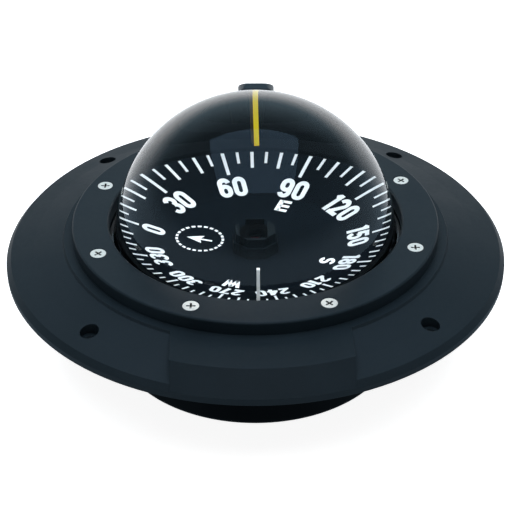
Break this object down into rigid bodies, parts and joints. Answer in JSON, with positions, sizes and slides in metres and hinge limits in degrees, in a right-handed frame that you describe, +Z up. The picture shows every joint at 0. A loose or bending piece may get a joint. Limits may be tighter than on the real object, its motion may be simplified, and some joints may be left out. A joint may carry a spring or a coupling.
{
  "type": "flush-mount binnacle compass",
  "caption": "Flush-mount binnacle compass: clear domed bowl on a wide black deck flange, gimballed card with lubber lines, compensator rods and a rear lamp.",
  "frame": {"origin": "centre of the deck bolt circle on the underside of the flange, where it meets the deck", "axes": "+Z up, out of the deck along the card's spin axis; +Y forward, towards the fore lubber line and the lamp; +X to the right of a reader who looks forward"},
  "size_m": [0.23, 0.23, 0.1249],
  "materials": {
    "flange_plastic": "fine-grained moulded black plastic",
    "bezel_plastic": "satin moulded black plastic",
    "case_plastic": "matt black plastic",
    "inner_plastic": "matt black plastic",
    "seal_rubber": "black nitrile rubber",
    "diaphragm_rubber": "black moulded rubber",
    "clear_acrylic": "clear polished acrylic",
    "screw_steel": "passivated stainless steel",
    "pin_steel": "ground stainless steel",
    "magnet_steel": "dark sintered magnet",
    "brass": "turned brass",
    "lamp_plastic": "satin moulded black plastic",
    "red_lens": "red translucent plastic",
    "board_green": "green circuit board",
    "led_red": "red epoxy",
    "lubber_yellow": "yellow enamelled plastic",
    "lubber_white": "white enamelled plastic",
    "card_black": "matt black printed card",
    "float_plastic": "matt black plastic",
    "hub_black": "satin black plastic",
    "jewel": "synthetic sapphire"
  },
  "bodies": {
    "housing": {"mounting_flange": "flange_plastic", "deck_gasket": "seal_rubber", "bezel_ring": "bezel_plastic", "bezel_gasket": "seal_rubber", "bezel_screws": "screw_steel", "dome": "clear_acrylic", "dome_seal": "seal_rubber", "bowl": "inner_plastic", "diaphragm": "diaphragm_rubber", "diaphragm_ring": "brass", "diaphragm_screws": "screw_steel", "fill_plug": "brass", "fill_washer": "seal_rubber", "lower_case": "case_plastic", "case_screws": "screw_steel", "cable_grommet": "seal_rubber", "compensator_bracket": "inner_plastic", "bracket_screws": "screw_steel", "lamp_housing": "lamp_plastic", "lamp_lens": "red_lens", "lamp_board": "board_green", "lamp_led": "led_red", "lamp_screws": "screw_steel", "roll_pins": "pin_steel"},
    "gimbal_ring": {"gimbal_ring": "inner_plastic"},
    "gimbal_cup": {"gimbal_cup": "inner_plastic", "pitch_pins": "pin_steel", "gimbal_weight": "brass", "weight_screw": "screw_steel", "pivot_post": "brass", "pivot_pin": "pin_steel", "fore_lubber": "lubber_yellow", "aft_lubber": "lubber_white"},
    "card": {"compass_card": "card_black", "card_float": "float_plastic", "card_magnets": "magnet_steel", "card_hub": "hub_black", "jewel_cup": "jewel"},
    "fore_aft_rod": {"fore_aft_rod": "brass", "fore_aft_magnets": "magnet_steel"},
    "athwart_rod": {"athwart_rod": "brass", "athwart_magnets": "magnet_steel"}
  },
  "joints": [
    {"name": "gimbal_roll", "type": "hinge", "parent": "housing", "child": "gimbal_ring", "pos_m": [0, 0, 0.0015], "axis": [0, 1, 0], "range_deg": [-20, 20]},
    {"name": "gimbal_pitch", "type": "hinge", "parent": "gimbal_ring", "child": "gimbal_cup", "pos_m": [0, 0, 0.0015], "axis": [1, 0, 0], "range_deg": [-20, 20]},
    {"name": "card_spin", "type": "hinge", "parent": "gimbal_cup", "child": "card", "pos_m": [0, 0, 0.0052], "axis": [0, 0, 1], "continuous": true},
    {"name": "fore_aft_turn", "type": "hinge", "parent": "housing", "child": "fore_aft_rod", "pos_m": [0, 0, -0.0383], "axis": [0, 1, 0], "continuous": true},
    {"name": "athwart_turn", "type": "hinge", "parent": "housing", "child": "athwart_rod", "pos_m": [0, 0, -0.0439], "axis": [1, 0, 0], "continuous": true}
  ]
}
